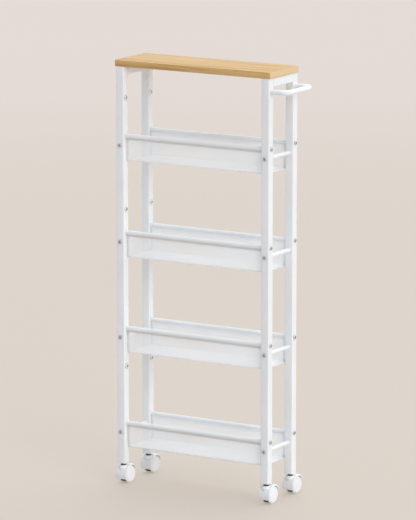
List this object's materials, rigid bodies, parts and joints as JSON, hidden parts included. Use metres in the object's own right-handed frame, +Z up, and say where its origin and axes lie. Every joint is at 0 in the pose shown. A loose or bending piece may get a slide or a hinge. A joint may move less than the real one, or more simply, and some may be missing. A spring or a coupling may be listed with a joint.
{
  "type": "rolling utility cart",
  "caption": "Slim rolling utility cart with a wooden top, open-ended see-through mesh baskets in a white square-tube frame, a side handle and twin-wheel swivel casters.",
  "frame": {"origin": "bottom centre of the whole cart's bounding box at rest, at floor level", "axes": "+Z is up, +X is along the top towards the handle end, and -Y is the front"},
  "size_m": [0.4562, 0.1578, 0.996],
  "materials": {
    "wood": "satin",
    "frame_paint": "satin",
    "mesh_paint": "satin",
    "fastener_steel": "satin",
    "cap_plastic": "matte",
    "dark_steel": "satin",
    "insert_plastic": "matte",
    "core_plastic": "matte",
    "hood_plastic": "gloss",
    "axle_steel": "satin",
    "wheel_plastic": "satin"
  },
  "bodies": {
    "frame": {"wood_top": "wood", "post_left_front": "frame_paint", "post_left_rear": "frame_paint", "post_right_front": "frame_paint", "post_right_rear": "frame_paint", "top_bar_left": "frame_paint", "top_bar_right": "frame_paint", "rail_front_1": "frame_paint", "rail_front_2": "frame_paint", "rail_front_3": "frame_paint", "rail_front_4": "frame_paint", "rail_rear_1": "frame_paint", "rail_rear_2": "frame_paint", "rail_rear_3": "frame_paint", "rail_rear_4": "frame_paint", "cross_left_1": "frame_paint", "cross_left_2": "frame_paint", "cross_left_3": "frame_paint", "cross_left_4": "frame_paint", "cross_right_1": "frame_paint", "cross_right_2": "frame_paint", "cross_right_3": "frame_paint", "cross_right_4": "frame_paint", "basket_1": "mesh_paint", "basket_2": "mesh_paint", "basket_3": "mesh_paint", "basket_4": "mesh_paint", "handle": "frame_paint", "rail_bolts": "fastener_steel", "cross_bolts": "fastener_steel", "handle_bolts": "fastener_steel", "spare_screws": "cap_plastic", "top_screws": "fastener_steel", "post_inserts": "insert_plastic", "caster_stems": "dark_steel"},
    "caster_left_front": {"core_left_front": "core_plastic", "hood_left_front": "hood_plastic", "axle_left_front": "axle_steel"},
    "caster_left_rear": {"core_left_rear": "core_plastic", "hood_left_rear": "hood_plastic", "axle_left_rear": "axle_steel"},
    "caster_right_front": {"core_right_front": "core_plastic", "hood_right_front": "hood_plastic", "axle_right_front": "axle_steel"},
    "caster_right_rear": {"core_right_rear": "core_plastic", "hood_right_rear": "hood_plastic", "axle_right_rear": "axle_steel"},
    "roller_left_front_a": {"wheel_left_front_a": "wheel_plastic"},
    "roller_left_front_b": {"wheel_left_front_b": "wheel_plastic"},
    "roller_left_rear_a": {"wheel_left_rear_a": "wheel_plastic"},
    "roller_left_rear_b": {"wheel_left_rear_b": "wheel_plastic"},
    "roller_right_front_a": {"wheel_right_front_a": "wheel_plastic"},
    "roller_right_front_b": {"wheel_right_front_b": "wheel_plastic"},
    "roller_right_rear_a": {"wheel_right_rear_a": "wheel_plastic"},
    "roller_right_rear_b": {"wheel_right_rear_b": "wheel_plastic"}
  },
  "joints": [
    {"name": "swivel_left_front", "type": "hinge", "parent": "frame", "child": "caster_left_front", "pos_m": [-0.21285, -0.06632, 0.045], "axis": [0, 0, 1], "continuous": true},
    {"name": "swivel_left_rear", "type": "hinge", "parent": "frame", "child": "caster_left_rear", "pos_m": [-0.21285, 0.04368, 0.045], "axis": [0, 0, 1], "continuous": true},
    {"name": "swivel_right_front", "type": "hinge", "parent": "frame", "child": "caster_right_front", "pos_m": [0.17115, -0.06632, 0.045], "axis": [0, 0, 1], "continuous": true},
    {"name": "swivel_right_rear", "type": "hinge", "parent": "frame", "child": "caster_right_rear", "pos_m": [0.17115, 0.04368, 0.045], "axis": [0, 0, 1], "continuous": true},
    {"name": "spin_left_front_a", "type": "hinge", "parent": "caster_left_front", "child": "roller_left_front_a", "pos_m": [-0.224, -0.05332, 0.0205], "axis": [1, 0, 0], "continuous": true},
    {"name": "spin_left_front_b", "type": "hinge", "parent": "caster_left_front", "child": "roller_left_front_b", "pos_m": [-0.2017, -0.05332, 0.0205], "axis": [1, 0, 0], "continuous": true},
    {"name": "spin_left_rear_a", "type": "hinge", "parent": "caster_left_rear", "child": "roller_left_rear_a", "pos_m": [-0.224, 0.05668, 0.0205], "axis": [1, 0, 0], "continuous": true},
    {"name": "spin_left_rear_b", "type": "hinge", "parent": "caster_left_rear", "child": "roller_left_rear_b", "pos_m": [-0.2017, 0.05668, 0.0205], "axis": [1, 0, 0], "continuous": true},
    {"name": "spin_right_front_a", "type": "hinge", "parent": "caster_right_front", "child": "roller_right_front_a", "pos_m": [0.16, -0.05332, 0.0205], "axis": [1, 0, 0], "continuous": true},
    {"name": "spin_right_front_b", "type": "hinge", "parent": "caster_right_front", "child": "roller_right_front_b", "pos_m": [0.1823, -0.05332, 0.0205], "axis": [1, 0, 0], "continuous": true},
    {"name": "spin_right_rear_a", "type": "hinge", "parent": "caster_right_rear", "child": "roller_right_rear_a", "pos_m": [0.16, 0.05668, 0.0205], "axis": [1, 0, 0], "continuous": true},
    {"name": "spin_right_rear_b", "type": "hinge", "parent": "caster_right_rear", "child": "roller_right_rear_b", "pos_m": [0.1823, 0.05668, 0.0205], "axis": [1, 0, 0], "continuous": true}
  ]
}
